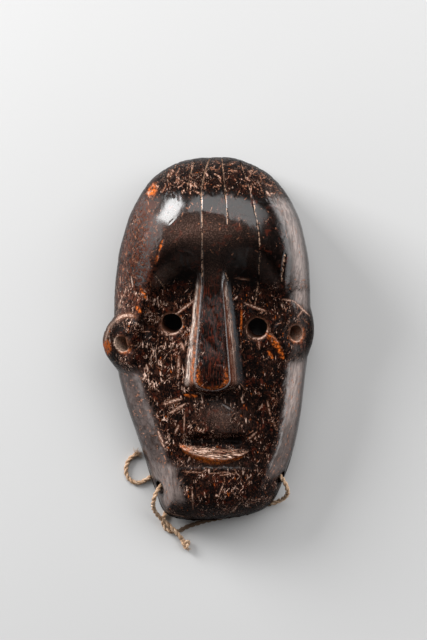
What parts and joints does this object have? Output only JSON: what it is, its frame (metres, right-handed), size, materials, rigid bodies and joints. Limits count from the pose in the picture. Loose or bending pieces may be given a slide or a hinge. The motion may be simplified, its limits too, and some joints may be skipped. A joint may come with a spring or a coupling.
{
  "type": "small carved face mask",
  "caption": "Small oval wooden face mask with a domed forehead, long narrow nose, pierced round eyes, ear lugs, full lower lip, hollow back and a cord laced through the jaw.",
  "frame": {"origin": "on the floor under the middle of the carving's box, ears included: the mask lies on its back rim with its face up", "axes": "+X to the viewer's right of the face, +Y towards the crown, +Z out of the face"},
  "size_m": [0.0812, 0.1514, 0.0445],
  "materials": {
    "carved_wood": "near-black red-brown hardwood with a glossy handled patina, worn orange at the edges and dusty in the tool marks",
    "plant_fibre_cord": "two-ply plant-fibre twine, tan, darkened by handling, frayed at one end"
  },
  "bodies": {
    "root": {"mask": "carved_wood", "lacing_cord": "plant_fibre_cord", "cord_knot": "plant_fibre_cord"}
  },
  "joints": []
}
